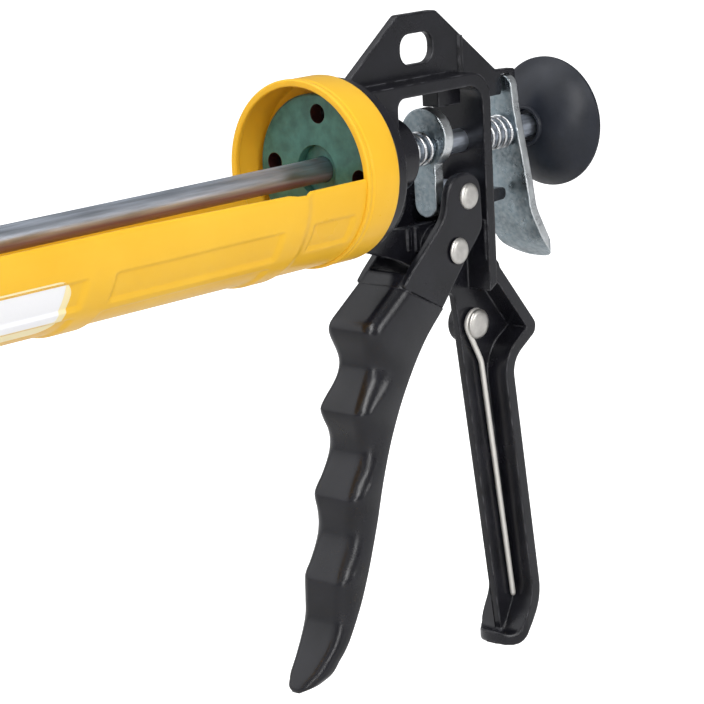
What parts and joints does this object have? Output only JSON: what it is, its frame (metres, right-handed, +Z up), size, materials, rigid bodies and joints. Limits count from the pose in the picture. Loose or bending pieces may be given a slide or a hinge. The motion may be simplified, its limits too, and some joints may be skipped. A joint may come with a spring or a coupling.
{
  "type": "caulking gun",
  "caption": "Cartridge caulking gun with a swivelling half-round cradle, sprung trigger, friction-plate drive, release lever and push rod with a pull knob.",
  "frame": {"origin": "on the push rod's axis, at the back edge of the cradle's collar", "axes": "+X along the push rod from the nozzle towards the user, +Y across the tool, +Z up from the handle towards the hanging plate"},
  "size_m": [0.3405, 0.0579, 0.2043],
  "materials": {
    "yellow_enamel": "gloss enamel on sheet steel",
    "rivet_steel": "plated steel",
    "green_plastic": "satin moulded plastic",
    "black_paint": "cast aluminium with black powder coat",
    "rod_steel": "drawn steel",
    "zinc_plate": "zinc-plated steel",
    "black_plastic": "satin moulded plastic",
    "spring_steel": "bright spring wire"
  },
  "bodies": {
    "frame": {"body_frame": "black_paint", "retaining_disc": "green_plastic", "handle_rivet": "rivet_steel", "pivot_rivet": "rivet_steel", "drive_spring": "spring_steel", "release_spring": "spring_steel"},
    "cradle": {"cradle": "yellow_enamel", "nose_plate": "yellow_enamel", "nose_rivets": "rivet_steel"},
    "rod": {"push_rod": "rod_steel", "piston_plate": "zinc_plate", "piston_backer": "zinc_plate", "piston_nut": "zinc_plate", "knob": "black_plastic"},
    "trigger": {"trigger": "black_paint", "drive_pin": "rivet_steel"},
    "roller": {"drive_roller": "rod_steel"},
    "drive": {"drive_plate": "zinc_plate"},
    "release": {"release_lever": "zinc_plate"},
    "piercer": {"piercing_wire": "rivet_steel"}
  },
  "joints": [
    {"name": "cradle_swivel", "type": "hinge", "parent": "frame", "child": "cradle", "pos_m": [-0.007, 0, 0], "axis": [1, 0, 0], "continuous": true},
    {"name": "rod_slide", "type": "slide", "parent": "frame", "child": "rod", "axis": [1, 0, 0], "range_m": [0, 0.2125]},
    {"name": "trigger_pivot", "type": "hinge", "parent": "frame", "child": "trigger", "pos_m": [0.0428, 0, -0.031], "axis": [0, -1, 0], "range_deg": [0, 25], "stiffness_Nm_per_rad": 0.4, "springref_deg": -20.05},
    {"name": "roller_spin", "type": "hinge", "parent": "trigger", "child": "roller", "pos_m": [0.049, 0, -0.0153], "axis": [0, 1, 0], "continuous": true},
    {"name": "drive_slide", "type": "slide", "parent": "frame", "child": "drive", "axis": [-1, 0, 0], "range_m": [0, 0.0073], "deforming": ["drive_spring"]},
    {"name": "release_hinge", "type": "hinge", "parent": "frame", "child": "release", "pos_m": [0.0788, 0, 0.0174], "axis": [0, 1, 0], "range_deg": [0, 4.2], "stiffness_Nm_per_rad": 0.5, "springref_deg": -17.19, "deforming": ["release_spring"]},
    {"name": "wire_swing", "type": "hinge", "parent": "frame", "child": "piercer", "pos_m": [0.0582, 0, -0.0572], "axis": [0, -1, 0], "range_deg": [-54, 0]}
  ],
  "couplings": [
    {"joint": "drive_slide", "follows": "trigger_pivot", "m_per_rad": 0.0165}
  ]
}
